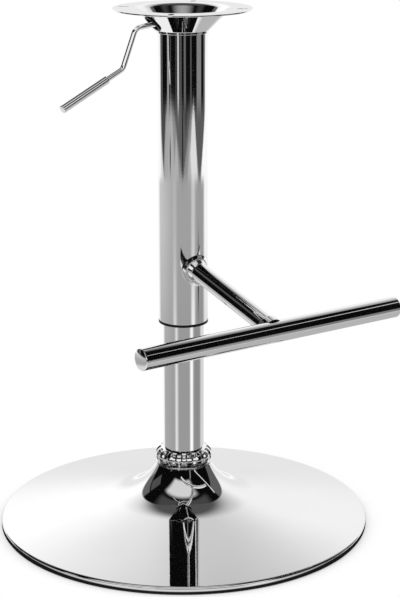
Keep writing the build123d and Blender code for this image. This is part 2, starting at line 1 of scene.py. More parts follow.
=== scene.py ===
import bpy
import json
from math import atan2, cos, degrees, pi, radians, sin, tan
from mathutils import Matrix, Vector


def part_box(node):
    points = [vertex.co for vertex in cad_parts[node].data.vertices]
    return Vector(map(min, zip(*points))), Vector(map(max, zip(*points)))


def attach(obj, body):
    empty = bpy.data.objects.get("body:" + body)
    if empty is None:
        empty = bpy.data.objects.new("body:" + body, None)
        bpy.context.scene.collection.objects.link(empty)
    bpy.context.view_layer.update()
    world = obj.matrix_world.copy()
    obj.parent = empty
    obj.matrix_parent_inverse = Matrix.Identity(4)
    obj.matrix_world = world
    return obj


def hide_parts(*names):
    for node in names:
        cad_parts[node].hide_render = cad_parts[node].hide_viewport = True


# Pedestal of a bar stool: chromed trumpet foot, gas lift, footrest and seat flange.
# The sizes below are in millimetres, as they are in the CAD; the pieces themselves are in metres.
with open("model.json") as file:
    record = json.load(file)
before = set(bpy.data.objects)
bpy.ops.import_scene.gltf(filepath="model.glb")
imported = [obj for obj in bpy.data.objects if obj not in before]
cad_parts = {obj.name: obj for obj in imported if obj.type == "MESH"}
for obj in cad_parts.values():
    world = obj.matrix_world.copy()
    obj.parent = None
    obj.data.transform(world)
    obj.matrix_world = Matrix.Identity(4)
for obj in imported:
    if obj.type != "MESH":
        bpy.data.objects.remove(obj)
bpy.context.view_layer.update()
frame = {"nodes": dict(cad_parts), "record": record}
MM = 0.001
# A turned piece closes in the middle with a flat of this radius
CENTRE_R = 0.4

# Foot: a spun skin with a rolled rim, and the soft ring under it
BASE_R = 230.0
SKIN_T = 1.5
RIM_TOP_Z = 9.8
RIM_ROUND = 3.0
LIP_IN_R = 218.0
LIP_TOP_Z = 3.0
FOOT_SLOPE = 10.0
NECK_R = 33.5
NECK_TOP_Z = 77.0
NECK_SLOPE = 61.0
FLARE_R = 80.0
RING_IN_R = 212.6
RING_OUT_R = 228.6
RING_T = 1.5
RING_UPSTAND_Z = 2.5
RING_GAP = 0.1

# Stand tube, and the fluted collar that hides where it enters the foot
STAND_R = 25.0
STAND_BORE_R = 23.0
STAND_FOOT_Z = 10.0
STAND_TOP_Z = 390.0
STAND_TAPER_R = 24.3
STAND_FLOOR_T = 3.0
STAND_HOLE_R = 4.5
COLLAR_TOP_Z = 97.0
COLLAR_BORE_R = 25.1
COLLAR_FOOT_R = 33.2
COLLAR_BULGE_R = 35.4
COLLAR_BEAD_H = 2.8
COLLAR_BEAD_STEP = 2.1
COLLAR_BEAD_BORE_R = 25.6
# The band's bulge is an arc about this centre, between two angles from the horizontal
BAND_ARC_X = 24.45
BAND_ARC_Z = 86.62
BAND_ARC_R = 10.95
BAND_FROM = -25.0
BAND_TO = 72.4
BAND_STEPS = 52
BAND_INSET = 0.8
BAND_FOOT_STEP = 0.7
BAND_FOOT_Z = 79.0
FLUTE_COUNT = 16
FLUTE_WIDTH = 9.4
FLUTE_FOOT_Z = 80.4
FLUTE_DEPTH = 1.7
FLUTE_WALL = 3.2
FLUTE_SCOOP = 7.0
FLUTE_LIP = 0.9
COLLAR_SIDES = 640

# Gas cylinder, and the cover tube that glides on the stand tube
CYLINDER_R = 14.0
CYLINDER_TOP_R = 13.5
CYLINDER_FOOT_Z = 212.0
CYLINDER_TOP_Z = 622.0
ROD_BORE_R = 5.3
PIN_BORE_R = 3.3
PIN_BORE_DEPTH = 22.0
CYLINDER_HEAD_T = 24.0
COVER_R = 30.0
COVER_BORE_R = 28.0
COVER_FOOT_Z = 263.0
COVER_TOP_Z = 618.0
GLIDE_R = 30.4
GLIDE_BORE_R = 25.3
GLIDE_FLANGE_T = 3.0
GLIDE_SLEEVE_H = 32.0
GLIDE_GAP = 0.05
GLIDE_FIT = 0.1
SOCKET_H = 32.0

# Seat flange: a funnel with a flat rim, four slots and a hole for the lever
SEAT_Z = 643.0
FLANGE_R = 82.4
FLANGE_T = 1.8
FUNNEL_FOOT_R = 31.85
FUNNEL_FOOT_Z = 617.6
FUNNEL_LIP_Z = 614.5
FUNNEL_ROUND = 12.0
FUNNEL_GAP = 0.05
SLOT_CIRCLE_R = 71.0
SLOT_LENGTH = 13.0
SLOT_WIDTH = 6.2
SLOT_DEPTH = 10.0
SLOT_COUNT = 4
LEVER_HOLE_LENGTH = 17.0
LEVER_HOLE_WIDTH = 10.5
LEVER_HOLE_DEPTH = 9.0
LEVER_HOLE_SHIFT = 1.2

# Lever: its pivot, its two bends, the sleeve of its grip and its flat blade
PIVOT_X = 20.0
PIVOT_Z = 628.86
LEVER_R = 3.2
LEVER_SLOPE = 6.66
LEVER_DROP_SLOPE = 68.1
GRIP_SLOPE = 25.6
KNEE_X = 65.84
ELBOW_X = 84.14
GRIP_END_X = 166.4
GRIP_LENGTH = 67.2
GRIP_R = 4.9
GRIP_GAP = 0.05
GRIP_END_T = 1.5
LEVER_BEND_R = 10.0
BLADE_TIP = 23.0
BLADE_ROOT = 14.0
BLADE_HEIGHT = 7.0
BLADE_T = 5.0
BLADE_OVERLAP = 4.0
BLADE_ROUND = 0.7

# Footrest: a level bar with a cap in each end, and the sloping arm that carries it
BAR_Z = 291.0
BAR_Y = 182.5
BAR_R = 12.5
BAR_WALL = 1.5
BAR_LENGTH = 367.0
BAR_CAP_T = 3.0
CAP_PLUG_H = 10.0
CAP_PLUG_GAP = 0.1
ARM_R = 11.2
ARM_SLOPE = 14.1
ARM_ABOVE_BAR = 1.5
BEAD_R = 18.5
BAR_BEAD_R = 13.6
SADDLE_T = 1.4
SADDLE_SINK = 0.4
ARM_FLARE = 3.4
# Along the arm from the bar's axis: its collar at the bar, and where the tube has narrowed
ARM_COLLAR_FROM = 2.0
ARM_COLLAR_TO = 12.2
ARM_TUBE_FROM = 14.6
# How far arm and saddle run into the column, and the saddle back from it, before they are cut
ARM_OVERRUN = 14.0
SADDLE_RUN = 30.0
WELD_R = 1.7
WELD_RING = 2.6
WELD_DROPS = 44

bodies = frame["record"]["behaviour"]["bodies"]
body_of = {node: body for body, nodes in bodies.items() for node in nodes}


# ---------------------------------------------------------------- shaping

def rounded(corners, steps=6):
    """Points of a profile whose corners (r, z, radius) are rounded, with a support point beside each."""
    points = []
    count = len(corners)
    for i, corner in enumerate(corners):
        here = Vector(corner[:2])
        radius = corner[2] if len(corner) > 2 else 0.0
        if not radius:
            points.append(tuple(here))
            continue
        before = Vector(corners[i - 1][:2]) - here
        after = Vector(corners[(i + 1) % count][:2]) - here
        turn = before.angle(after)
        run = radius / tan(turn / 2)
        start = here + before.normalized() * run
        end = here + after.normalized() * run
        halfway = (before.normalized() + after.normalized()).normalized()
        centre = here + halfway * (radius / sin(turn / 2))
        support = min(0.6, 0.3 * run + 0.1)
        points.append(tuple(start + before.normalized() * support))
        first, last = start - centre, end - centre
        sweep = atan2(first.x * last.y - first.y * last.x, first.dot(last))
        for k in range(steps + 1):
            angle = sweep * k / steps
            x = first.x * cos(angle) - first.y * sin(angle)
            y = first.x * sin(angle) + first.y * cos(angle)
            points.append((centre.x + x, centre.y + y))
        points.append(tuple(end + after.normalized() * support))
    return points


def select_none():
    """Back to object mode, with nothing selected."""
    if bpy.context.mode != "OBJECT":
        bpy.ops.object.mode_set(mode="OBJECT")
    bpy.ops.object.select_all(action="DESELECT")


def make_active(piece):
    select_none()
    piece.select_set(True)
    bpy.context.view_layer.objects.active = piece


def apply_transform():
    """The active piece's place, turn and scale go into its mesh."""
    bpy.ops.object.transform_apply(location=True, rotation=True, scale=True)


def edit_all(piece):
    """Into edit mode with the whole mesh selected."""
    make_active(piece)
    bpy.ops.object.mode_set(mode="EDIT")
    bpy.ops.mesh.select_all(action="SELECT")


def mend():
    """Merges doubled points, turns the faces outward and leaves edit mode."""
    bpy.ops.mesh.select_all(action="SELECT")
    bpy.ops.mesh.remove_doubles(threshold=0.000005)
    bpy.ops.mesh.normals_make_consistent(inside=False)
    bpy.ops.object.mode_set(mode="OBJECT")


def turned(name, profile, sides=160, closed=True):
    """A ring at the profile's first point, extruded and resized from point to point about Z."""
    select_none()
    r, z = profile[0]
    bpy.ops.mesh.primitive_circle_add(vertices=sides, radius=r * MM, location=(0, 0, z * MM))
    piece = bpy.context.object
    piece.name = name
    apply_transform()
    edit_all(piece)
    rest = list(profile[1:])
    if closed:
        rest.append(profile[0])
    for r_next, z_next in rest:
        bpy.ops.mesh.extrude_region_move(TRANSFORM_OT_translate={"value": (0, 0, (z_next - z) * MM)})
        scale = r_next / r
        bpy.ops.transform.resize(value=(scale, scale, 1), center_override=(0, 0, z_next * MM))
        r, z = r_next, z_next
    mend()
    return piece


def turned_solid(name, profile, sides=96):
    """A turned piece whose first and last rings are closed with a flat face."""
    piece = turned(name, profile, sides, closed=False)
    make_active(piece)
    bpy.ops.object.mode_set(mode="EDIT")
    bpy.ops.mesh.select_mode(type="EDGE")
    bpy.ops.mesh.select_all(action="DESELECT")
    bpy.ops.mesh.select_non_manifold(extend=False)
    bpy.ops.mesh.edge_face_add()
    bpy.ops.mesh.select_all(action="SELECT")
    bpy.ops.mesh.normals_make_consistent(inside=False)
    bpy.ops.mesh.select_mode(type="VERT")
    bpy.ops.object.mode_set(mode="OBJECT")
    return piece


def smooth(piece, angle=32):
    """Smooth shading, with edges kept sharp over an angle in degrees."""
    make_active(piece)
    bpy.ops.object.shade_smooth_by_angle(angle=radians(angle))
    return piece


def lay_along(piece, direction, place):
    """Turns a piece made along Z so that it points along a direction, and moves it to its place."""
    make_active(piece)
    piece.rotation_mode = "QUATERNION"
    piece.rotation_quaternion = Vector(direction).to_track_quat("Z", "Y")
    piece.location = Vector(place) * MM
    apply_transform()
    return piece


def cut(piece, cutter, operation="DIFFERENCE"):
    """Cuts a piece with another one, which is used up."""
    make_active(piece)
    tool = piece.modifiers.new("cut", "BOOLEAN")
    tool.operation = operation
    tool.solver = "EXACT"
    tool.object = cutter
    bpy.ops.object.modifier_apply(modifier=tool.name)
    bpy.data.objects.remove(cutter)
    return piece


def bevelled(piece, width, segments, angle):
    """Rounds every edge sharper than an angle."""
    make_active(piece)
    tool = piece.modifiers.new("edges", "BEVEL")
    tool.width = width * MM
    tool.segments = segments
    tool.limit_method = "ANGLE"
    tool.angle_limit = radians(angle)
    tool.use_clamp_overlap = True
    bpy.ops.object.modifier_apply(modifier=tool.name)
    return piece


def stadium_block(length, width, depth):
    """A block with round ends, lying along X, for cutting slots."""
    select_none()
    bpy.ops.mesh.primitive_cube_add(size=1)
    block = bpy.context.object
    block.scale = (length * MM, width * MM, depth * MM)
    apply_transform()
    bpy.ops.object.mode_set(mode="EDIT")
    bpy.ops.mesh.select_mode(type="EDGE")
    bpy.ops.mesh.select_all(action="DESELECT")
    bpy.ops.object.mode_set(mode="OBJECT")
    for edge in block.data.edges:
        a, b = (block.data.vertices[v].co for v in edge.vertices)
        edge.select = abs(a.x - b.x) < 1e-7 and abs(a.y - b.y) < 1e-7
    bpy.ops.object.mode_set(mode="EDIT")
    bpy.ops.mesh.bevel(offset=(width / 2 - 0.01) * MM, segments=10, affect="EDGES")
    bpy.ops.mesh.select_mode(type="VERT")
    bpy.ops.mesh.select_all(action="SELECT")
    bpy.ops.mesh.remove_doubles(threshold=0.00004)
    bpy.ops.object.mode_set(mode="OBJECT")
    return block


def joined(piece, *others):
    """Makes the others part of the first piece."""
    select_none()
    for other in others:
        other.select_set(True)
    piece.select_set(True)
    bpy.context.view_layer.objects.active = piece
    bpy.ops.object.join()
    return piece


def fit(piece, node, material):
    """The piece stands for the CAD node, rides on its body and gets its finish."""
    piece.data.materials.clear()
    piece.data.materials.append(material)
    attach(piece, body_of[node])
    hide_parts(node)
    return piece


# ---------------------------------------------------------------- materials

def new_material(name):
    material = bpy.data.materials.new(name)
    material.use_nodes = True
    return material, material.node_tree, material.node_tree.nodes["Principled BSDF"]


def link(tree, out, into):
    tree.links.new(out, into)


def feed(tree, value, socket):
    """Sets a socket to a number or a colour, or links it to another socket."""
    if isinstance(value, (int, float, tuple)):
        socket.default_value = value
    else:
        link(tree, value, socket)


def noise(tree, vector, scale, detail):
    node = tree.nodes.new("ShaderNodeTexNoise")
    link(tree, vector, node.inputs["Vector"])
    feed(tree, scale, node.inputs["Scale"])
    node.inputs["Detail"].default_value = detail
    return node


def ranged(tree, value, start, end, low, high):
    """Maps start to low and end to high."""
    node = tree.nodes.new("ShaderNodeMapRange")
    link(tree, value, node.inputs["Value"])
    for label, bound in (("From Min", start), ("From Max", end), ("To Min", low), ("To Max", high)):
        feed(tree, bound, node.inputs[label])
    return node.outputs["Result"]


def blended(tree, mask, first, second):
    """The first colour, and the second where the mask is 1."""
    node = tree.nodes.new("ShaderNodeMix")
    node.data_type = "RGBA"
    for socket, value in zip((node.inputs[0], node.inputs[6], node.inputs[7]), (mask, first, second)):
        feed(tree, value, socket)
    return node.outputs[2]


def effect_group(name, inputs, outputs):
    group = bpy.data.node_groups.new(name, "ShaderNodeTree")
    for label, kind, value in inputs:
        socket = group.interface.new_socket(label, in_out="INPUT", socket_type=kind)
        if value is not None:
            socket.default_value = value
    for label, kind in outputs:
        group.interface.new_socket(label, in_out="OUTPUT", socket_type=kind)
    return group, group.nodes.new("NodeGroupInput"), group.nodes.new("NodeGroupOutput")


def polish_group():
    """Buffed metal: a haze in its gloss and tint, and a ripple that makes reflections waver."""
    group, take, give = effect_group(
        "polish marks",
        [
            ("Vector", "NodeSocketVector", None),
            ("Gloss Low", "NodeSocketFloat", 0.03),
            ("Gloss High", "NodeSocketFloat", 0.07),
            ("Bright", "NodeSocketColor", (0.9, 0.9, 0.9, 1)),
            ("Dull", "NodeSocketColor", (0.8, 0.8, 0.8, 1)),
        ],
        [("Color", "NodeSocketColor"), ("Roughness", "NodeSocketFloat"), ("Height", "NodeSocketFloat")],
    )
    given = take.outputs
    haze = noise(group, given["Vector"], 14.0, 4.0)
    haze.inputs["Roughness"].default_value = 0.6
    gloss = ranged(group, haze.outputs["Fac"], 0.35, 0.7, given["Gloss Low"], given["Gloss High"])
    tint = blended(group, haze.outputs["Fac"], given["Bright"], given["Dull"])
    ripple = noise(group, given["Vector"], 420.0, 2.0)
    link(group, tint, give.inputs["Color"])
    link(group, gloss, give.inputs["Roughness"])
    link(group, ripple.outputs["Fac"], give.inputs["Height"])
    return group


def grain_group():
    """Moulded plastic, rubber or rough steel: a mottled colour and a fine grain."""
    group, take, give = effect_group(
        "moulded grain",
        [
            ("Vector", "NodeSocketVector", None),
            ("Grain Size", "NodeSocketFloat", 900.0),
            ("Dark", "NodeSocketColor", (0.01, 0.01, 0.01, 1)),
            ("Light", "NodeSocketColor", (0.03, 0.03, 0.03, 1)),
            ("Rough Low", "NodeSocketFloat", 0.35),
            ("Rough High", "NodeSocketFloat", 0.6),
        ],
        [("Color", "NodeSocketColor"), ("Roughness", "NodeSocketFloat"), ("Height", "NodeSocketFloat")],
    )
    given = take.outputs
    cloud = noise(group, given["Vector"], 60.0, 5.0).outputs["Fac"]
    grain = noise(group, given["Vector"], given["Grain Size"], 3.0).outputs["Fac"]
    link(group, blended(group, cloud, given["Dark"], given["Light"]), give.inputs["Color"])
    rough = ranged(group, cloud, 0.0, 1.0, given["Rough Low"], given["Rough High"])
    link(group, rough, give.inputs["Roughness"])
    link(group, grain, give.inputs["Height"])
    return group


POLISH = polish_group()
GRAIN = grain_group()


def place_group(tree, group, values):
    node = tree.nodes.new("ShaderNodeGroup")
    node.node_tree = group
    where = tree.nodes.new("ShaderNodeTexCoord")
    link(tree, where.outputs["Object"], node.inputs["Vector"])
    for label, value in values.items():
        node.inputs[label].default_value = value
    return node


def bump(tree, height, shader, strength, distance):
    node = tree.nodes.new("ShaderNodeBump")
    node.inputs["Strength"].default_value = strength
    node.inputs["Distance"].default_value = distance
    link(tree, height, node.inputs["Height"])
    link(tree, node.outputs["Normal"], shader.inputs["Normal"])


def chrome(name, low, high, bright=0.93, dull=0.86, ripple=0.02):
    """Mirror plating: metallic, hardly rough, with polishing haze and a trace of ripple."""
    material, tree, shader = new_material(name)
    marks = place_group(tree, POLISH, {
        "Gloss Low": low,
        "Gloss High": high,
        "Bright": (bright, bright, bright * 1.008, 1),
        "Dull": (dull, dull, dull * 1.012, 1),
    })
    shader.inputs["Metallic"].default_value = 1.0
    finish(tree, marks, shader, ripple, 0.0002)
    return material


def grained(name, dark, light, rough, size, strength, metallic=0.0, sheen=0.5):
    """Anything unplated: a colour between two, a range of roughness and a grain of some size."""
    material, tree, shader = new_material(name)
    marks = place_group(tree, GRAIN, {
        "Grain Size": size,
        "Dark": (*dark, 1),
        "Light": (*light, 1),
        "Rough Low": rough[0],
        "Rough High": rough[1],
    })
    shader.inputs["Metallic"].default_value = metallic
    shader.inputs["Specular IOR Level"].default_value = sheen
    finish(tree, marks, shader, strength, 0.0003)
    return material


def finish(tree, marks, shader, strength, distance):
    """Colour, roughness and fine relief of a material come from its group."""
    link(tree, marks.outputs["Color"], shader.inputs["Base Color"])
    link(tree, marks.outputs["Roughness"], shader.inputs["Roughness"])
    bump(tree, marks.outputs["Height"], shader, strength, distance)


def make_mirror_chrome():
    """Foot, collar and seat flange: the best polished."""
    return chrome("mirror chrome", 0.012, 0.04)


def make_tube_chrome():
    """Tubes, lever, bar and arm."""
    return chrome("tube chrome", 0.02, 0.05)


def make_weld_chrome():
    """The weld, plated over but never polished flat."""
    return chrome("weld chrome", 0.05, 0.12, bright=0.88, dull=0.7, ripple=0.3)


def make_cap_chrome():
    """The bar's caps: plated plastic, a little softer than steel."""
    return chrome("cap chrome", 0.03, 0.07, bright=0.9, dull=0.82)


def make_plain_steel():
    """Hidden steel parts, bare and lightly oiled."""
    dark, light = (0.34, 0.34, 0.35), (0.5, 0.5, 0.51)
    return grained("plain steel", dark, light, (0.28, 0.45), 700, 0.25, metallic=1.0)


def make_black_steel():
    """Painted steel: gas cylinder and bottom plate."""
    return grained("black steel", (0.012, 0.012, 0.013), (0.03, 0.03, 0.03), (0.3, 0.5), 600, 0.3)


def make_black_plastic():
    """Satin black plastic: glide ring, bush and grommet."""
    dark, light = (0.002, 0.002, 0.002), (0.006, 0.006, 0.006)
    return grained("black plastic", dark, light, (0.35, 0.5), 900, 0.3, sheen=0.15)


def make_black_rubber():
    """Matt rubber: floor ring and buffer."""
    return grained("black rubber", (0.012, 0.012, 0.012), (0.028, 0.028, 0.028), (0.6, 0.8), 1200, 0.4)


mirror_chrome = make_mirror_chrome()
tube_chrome = make_tube_chrome()
weld_chrome = make_weld_chrome()
cap_chrome = make_cap_chrome()
plain_steel = make_plain_steel()
black_steel = make_black_steel()
black_plastic = make_black_plastic()
black_rubber = make_black_rubber()
SLOT_MATERIALS = {
    "plain_steel": plain_steel,
    "black_steel": black_steel,
    "black_plastic": black_plastic,
    "black_rubber": black_rubber,
}

# The CAD nodes that show as they are, under the slot whose finish they get; the others are rebuilt below
SHOWN_NODES = {
    "plain_steel": [
        "hub_socket", "bearing_lower_race", "bearing_rollers", "bearing_upper_race", "piston_rod", "piston",
        "rod_washer", "rod_clip", "cone_socket", "lever_bracket", "lever_pin", "release_pin",
    ],
    "black_steel": ["bottom_plate"],
    "black_plastic": ["guide_bush", "lever_grommet"],
    "black_rubber": ["rubber_buffer"],
}
for slot, nodes in SHOWN_NODES.items():
    for node in nodes:
        piece = frame["nodes"][node]
        piece.data.materials.clear()
        piece.data.materials.append(SLOT_MATERIALS[slot])


# ---------------------------------------------------------------- foot

def foot_skin():
    """Steep neck, one wide flare, shallow cone, and a rim rolled under itself, all of one thickness."""
    foot_t = tan(radians(FOOT_SLOPE))
    neck_t = tan(radians(NECK_SLOPE))
    flare_x = (NECK_TOP_Z - RIM_TOP_Z + NECK_R * neck_t - BASE_R * foot_t) / (neck_t - foot_t)
    flare_z = RIM_TOP_Z + (BASE_R - flare_x) * foot_t
    half = radians((NECK_SLOPE - FOOT_SLOPE) / 2)
    inner = SKIN_T / cos(half)
    lean = radians((NECK_SLOPE + FOOT_SLOPE) / 2)
    profile = [
        (NECK_R, NECK_TOP_Z),
        (flare_x, flare_z, FLARE_R),
        (BASE_R, RIM_TOP_Z, RIM_ROUND),
        (BASE_R, RING_T, 1.2),
        (LIP_IN_R, RING_T),
        (LIP_IN_R, LIP_TOP_Z),
        (BASE_R - SKIN_T, LIP_TOP_Z),
        (BASE_R - SKIN_T, RIM_TOP_Z - SKIN_T),
        (flare_x - inner * sin(lean), flare_z - inner * cos(lean)),
        (NECK_R - SKIN_T / sin(radians(NECK_SLOPE)), NECK_TOP_Z),
    ]
    return smooth(turned("foot_skin", rounded(profile, steps=24), sides=320), 25)


def floor_ring():
    """Flat under the rim's lip, with an upstand that clips inside it."""
    profile = rounded([
        (RING_IN_R, 0.0),
        (RING_OUT_R, 0.0, 0.4),
        (RING_OUT_R, RING_T),
        (LIP_IN_R - RING_GAP, RING_T),
        (LIP_IN_R - RING_GAP, RING_UPSTAND_Z, 0.3),
        (RING_IN_R, RING_UPSTAND_Z, 0.3),
    ], steps=3)
    return smooth(turned("foot_ring", profile, sides=256))


def flute_share(across, height):
    """How deep the flute is at a place on the band, from 0 outside it to 1 on its floor."""
    half = FLUTE_WIDTH / 2
    end_z = FLUTE_FOOT_Z + half
    drop = max(end_z - height, 0.0)
    inside = half - (across ** 2 + drop ** 2) ** 0.5
    depth = min(max(inside / FLUTE_WALL, 0.0), 1.0)
    rim = min(max((COLLAR_TOP_Z - height) / FLUTE_LIP, 0.0), 1.0)
    scoop = min(max((height - FLUTE_FOOT_Z) / FLUTE_SCOOP, 0.0), 1.0)
    depth = depth * depth * (3 - 2 * depth)
    rim = rim * rim * (3 - 2 * rim)
    return depth * rim * scoop * (2 - scoop)


def band_profile():
    """The band's outline: out from its foot, over the bulge, and down the bore."""
    points = [
        (COLLAR_BORE_R, NECK_TOP_Z),
        (COLLAR_FOOT_R - BAND_INSET, NECK_TOP_Z),
        (COLLAR_FOOT_R + BAND_FOOT_STEP, BAND_FOOT_Z),
    ]
    for k in range(BAND_STEPS + 1):
        angle = radians(BAND_FROM + (BAND_TO - BAND_FROM) * k / BAND_STEPS)
        points.append((BAND_ARC_X + BAND_ARC_R * cos(angle), BAND_ARC_Z + BAND_ARC_R * sin(angle)))
    inner_edge = rounded([
        (BAND_ARC_X, COLLAR_TOP_Z),
        (COLLAR_BORE_R, COLLAR_TOP_Z, 0.5),
        (COLLAR_BORE_R, NECK_TOP_Z),
    ], steps=4)
    return points + inner_edge[1:-1]


def crown_collar():
    """One flute's share of the band is cut out, the flute pressed in, and the share copied round."""
    share = turned("collar", band_profile(), sides=COLLAR_SIDES)
    step = 2 * pi / FLUTE_COUNT
    keep_ahead(share, (0, 1, 0))
    keep_ahead(share, (sin(step), -cos(step), 0))
    pressed = share.vertex_groups.new(name="flute")
    for vertex in share.data.vertices:
        radius = vertex.co.xy.length / MM
        across = (atan2(vertex.co.y, vertex.co.x) - step / 2) * COLLAR_BULGE_R
        depth = flute_share(across, vertex.co.z / MM) if radius > COLLAR_BORE_R + 1.5 else 0.0
        pressed.add([vertex.index], depth, "REPLACE")
    make_active(share)
    tool = share.modifiers.new("flute", "DISPLACE")
    tool.strength = -FLUTE_DEPTH * MM
    tool.mid_level = 0.0
    tool.vertex_group = pressed.name
    bpy.ops.object.modifier_apply(modifier=tool.name)
    copies = [turned_copy(share, i * step) for i in range(1, FLUTE_COUNT)]
    ring = joined(share, *copies)
    edit_all(ring)
    mend()
    return smooth(ring, 60)


def keep_ahead(piece, direction):
    """Cuts a piece by a plane through the origin and keeps the side that the direction points to."""
    edit_all(piece)
    bpy.ops.mesh.bisect(plane_co=(0, 0, 0), plane_no=direction, clear_inner=True, threshold=0.000001)
    bpy.ops.object.mode_set(mode="OBJECT")


def collar_bead():
    """The round bead that the collar stands on."""
    profile = rounded([
        (COLLAR_BEAD_BORE_R, NECK_TOP_Z),
        (COLLAR_FOOT_R + COLLAR_BEAD_STEP, NECK_TOP_Z, 1.2),
        (COLLAR_FOOT_R + COLLAR_BEAD_STEP, NECK_TOP_Z + COLLAR_BEAD_H, 1.35),
        (COLLAR_BEAD_BORE_R, NECK_TOP_Z + COLLAR_BEAD_H),
    ], steps=8)
    return smooth(turned("collar_bead", profile, sides=192))


def turned_copy(piece, angle):
    """A copy of a piece with a mesh of its own, turned about the column's axis."""
    make_active(piece)
    bpy.ops.object.duplicate(linked=False)
    twin = bpy.context.object
    twin.rotation_mode = "XYZ"
    twin.rotation_euler = (0, 0, angle)
    apply_transform()
    return twin


fit(foot_skin(), "base_disc", mirror_chrome)
fit(floor_ring(), "floor_ring", black_rubber)
fit(crown_collar(), "crown_collar", mirror_chrome)
fit(collar_bead(), "crown_collar", mirror_chrome)


# ---------------------------------------------------------------- column

def stand_tube():
    """A tube with a tapered lower end and a floor that the thrust bearing sits on."""
    profile = rounded([
        (STAND_HOLE_R, STAND_FOOT_Z),
        (STAND_TAPER_R, STAND_FOOT_Z),
        (STAND_R, NECK_TOP_Z),
        (STAND_R, STAND_TOP_Z, 0.5),
        (STAND_BORE_R, STAND_TOP_Z, 0.3),
        (STAND_BORE_R, STAND_FOOT_Z + STAND_FLOOR_T),
        (STAND_HOLE_R, STAND_FOOT_Z + STAND_FLOOR_T),
    ], steps=4)
    return smooth(turned("stand_tube_polished", profile, sides=192))


def cover_tube():
    profile = rounded([
        (COVER_BORE_R, COVER_FOOT_Z),
        (COVER_R, COVER_FOOT_Z, 0.5),
        (COVER_R, COVER_TOP_Z, 0.4),
        (COVER_BORE_R, COVER_TOP_Z),
    ], steps=4)
    return smooth(turned("cover_tube_polished", profile, sides=224))


def glide_ring():
    """A flange under the cover tube's end, and a sleeve inside it."""
    profile = rounded([
        (GLIDE_BORE_R, COVER_FOOT_Z - GLIDE_FLANGE_T, 0.4),
        (GLIDE_R, COVER_FOOT_Z - GLIDE_FLANGE_T, 0.6),
        (GLIDE_R, COVER_FOOT_Z - GLIDE_GAP, 0.3),
        (COVER_BORE_R - GLIDE_FIT, COVER_FOOT_Z - GLIDE_GAP),
        (COVER_BORE_R - GLIDE_FIT, COVER_FOOT_Z + GLIDE_SLEEVE_H),
        (GLIDE_BORE_R, COVER_FOOT_Z + GLIDE_SLEEVE_H),
    ], steps=4)
    return smooth(turned("glide_ring_moulded", profile, sides=160))


def gas_cylinder():
    """Bored for the rod below and for the release pin above, with a top that tapers into its socket."""
    profile = rounded([
        (ROD_BORE_R, CYLINDER_FOOT_Z),
        (CYLINDER_R, CYLINDER_FOOT_Z, 1.0),
        (CYLINDER_R, COVER_TOP_Z - SOCKET_H),
        (CYLINDER_TOP_R, CYLINDER_TOP_Z, 1.2),
        (PIN_BORE_R, CYLINDER_TOP_Z, 0.4),
        (PIN_BORE_R, CYLINDER_TOP_Z - PIN_BORE_DEPTH),
        (ROD_BORE_R, CYLINDER_TOP_Z - CYLINDER_HEAD_T),
    ], steps=4)
    return smooth(turned("gas_cylinder_painted", profile, sides=96))


fit(stand_tube(), "stand_tube", tube_chrome)
fit(cover_tube(), "cover_tube", tube_chrome)
fit(glide_ring(), "glide_ring", black_plastic)
fit(gas_cylinder(), "gas_cylinder", black_steel)


# ---------------------------------------------------------------- seat end

def seat_flange():
    """A funnel and its flat rim, pressed from one sheet, then slotted and cut for the lever."""
    top_r = FUNNEL_FOOT_R + SEAT_Z - FLANGE_T - FUNNEL_FOOT_Z
    shift = FLANGE_T * tan(radians(22.5))
    profile = rounded([
        (COVER_R + FUNNEL_GAP, FUNNEL_LIP_Z),
        (FUNNEL_FOOT_R, FUNNEL_LIP_Z, 0.4),
        (FUNNEL_FOOT_R, FUNNEL_FOOT_Z, 1.0),
        (top_r, SEAT_Z - FLANGE_T, FUNNEL_ROUND),
        (FLANGE_R, SEAT_Z - FLANGE_T, 0.5),
        (FLANGE_R, SEAT_Z, 0.6),
        (top_r - shift, SEAT_Z, FUNNEL_ROUND - FLANGE_T),
        (COVER_R + FUNNEL_GAP, COVER_TOP_Z + 2 * FUNNEL_GAP),
    ], steps=10)
    plate = turned("seat_flange_pressed", profile, sides=256)
    cut(plate, seat_slots())
    cut(plate, lever_hole())
    return smooth(plate, 30)


def seat_slots():
    """The cutters of the radial slots: one is modelled, the others are its copies."""
    slot = stadium_block(SLOT_LENGTH, SLOT_WIDTH, SLOT_DEPTH)
    first = pi / SLOT_COUNT
    slot.location = (SLOT_CIRCLE_R * cos(first) * MM, SLOT_CIRCLE_R * sin(first) * MM, SEAT_Z * MM)
    slot.rotation_euler = (0, 0, first)
    apply_transform()
    copies = [turned_copy(slot, 2 * pi * i / SLOT_COUNT) for i in range(1, SLOT_COUNT)]
    return joined(slot, *copies)


def lever_hole():
    """The cutter of the hole that the grommet lines, square to the funnel's wall."""
    low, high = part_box("lever_grommet")
    hole = stadium_block(LEVER_HOLE_LENGTH, LEVER_HOLE_WIDTH, LEVER_HOLE_DEPTH)
    hole.rotation_euler = (0, radians(-135), 0)
    hole.location = (low + high) / 2 + Vector((LEVER_HOLE_SHIFT, 0, LEVER_HOLE_SHIFT)) * MM
    apply_transform()
    return hole


fit(seat_flange(), "seat_flange", mirror_chrome)


# ---------------------------------------------------------------- lever

def lever_point(x, from_x, from_z, angle):
    """Where the lever's axis is at a distance x from the column, down a slope from the last bend."""
    return Vector((-x, 0, from_z - (x - from_x) * tan(radians(angle))))


